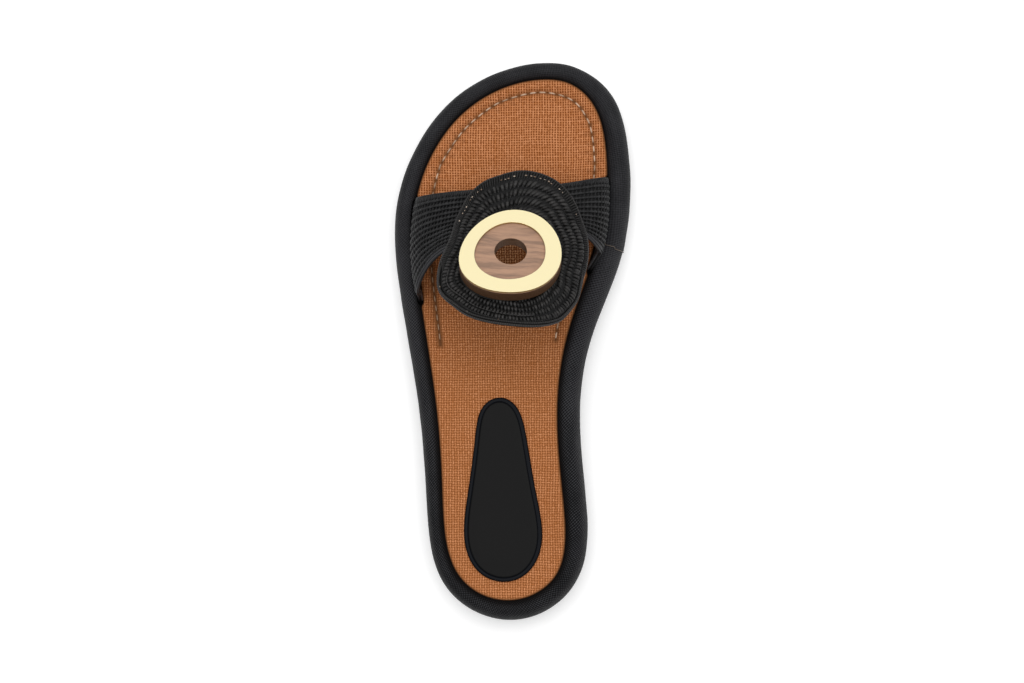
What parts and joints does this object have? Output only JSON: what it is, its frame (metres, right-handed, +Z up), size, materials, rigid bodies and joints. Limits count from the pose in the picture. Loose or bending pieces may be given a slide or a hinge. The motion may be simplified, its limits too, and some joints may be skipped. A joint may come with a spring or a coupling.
{
  "type": "slide sandal",
  "caption": "Open-toe slide sandal for the left foot, with a woven strap, a woven plaque and a walnut and gold disc on a padded footbed.",
  "frame": {"origin": "bottom centre of the bounding box, on the plane that the heel and the ball rest on", "axes": "+Y towards the toe, +X towards the inner side of the foot, +Z up"},
  "size_m": [0.1087, 0.255, 0.0811],
  "materials": {
    "outsole_rubber": "matt black moulded rubber",
    "rim_canvas": "fine black canvas wrapped over padding",
    "insole_weave": "orange-brown plain weave with light flecks and a running stitch",
    "pad_leather": "smooth black leather with a raised bead",
    "strap_braid": "black cord worked in ribbed rows",
    "plaque_braid": "black cord worked in rounds",
    "walnut": "satin walnut, grain across the foot",
    "gold_plate": "pale gold plate, satin"
  },
  "bodies": {
    "root": {"outsole": "outsole_rubber", "footbed": "rim_canvas", "insole": "insole_weave", "heel_pad": "pad_leather", "strap": "strap_braid", "plaque": "plaque_braid", "wood_disc": "walnut", "gold_ring": "gold_plate"}
  },
  "joints": []
}
